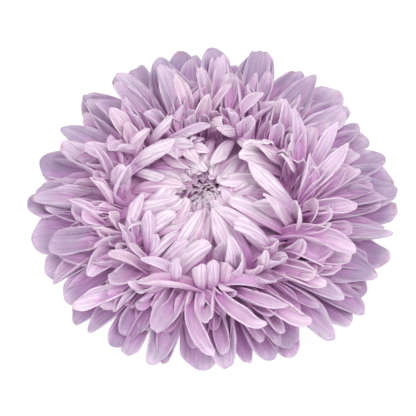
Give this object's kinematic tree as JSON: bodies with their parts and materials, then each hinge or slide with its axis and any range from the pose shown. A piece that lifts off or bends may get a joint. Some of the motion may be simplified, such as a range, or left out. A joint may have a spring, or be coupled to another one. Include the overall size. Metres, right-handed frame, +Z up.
{
  "type": "china aster bloom",
  "caption": "Double china aster head cut under its bracts: spreading lilac ray florets, arching paler inner ones, leafy green bracts and a short stem stub.",
  "frame": {"origin": "on the surface that the head rests on, under the middle of its outline as seen from above", "axes": "+Z up out of the face of the bloom; -Y is the side nearest the viewer in the picture, +X to the viewer's right"},
  "size_m": [0.1016, 0.1022, 0.0324],
  "materials": {
    "florets": "matt living petal",
    "bracts": "matt living leaf",
    "stem": "satin living stalk"
  },
  "bodies": {
    "root": {"ray_florets": "florets", "bracts": "bracts", "stem": "stem"}
  },
  "joints": []
}
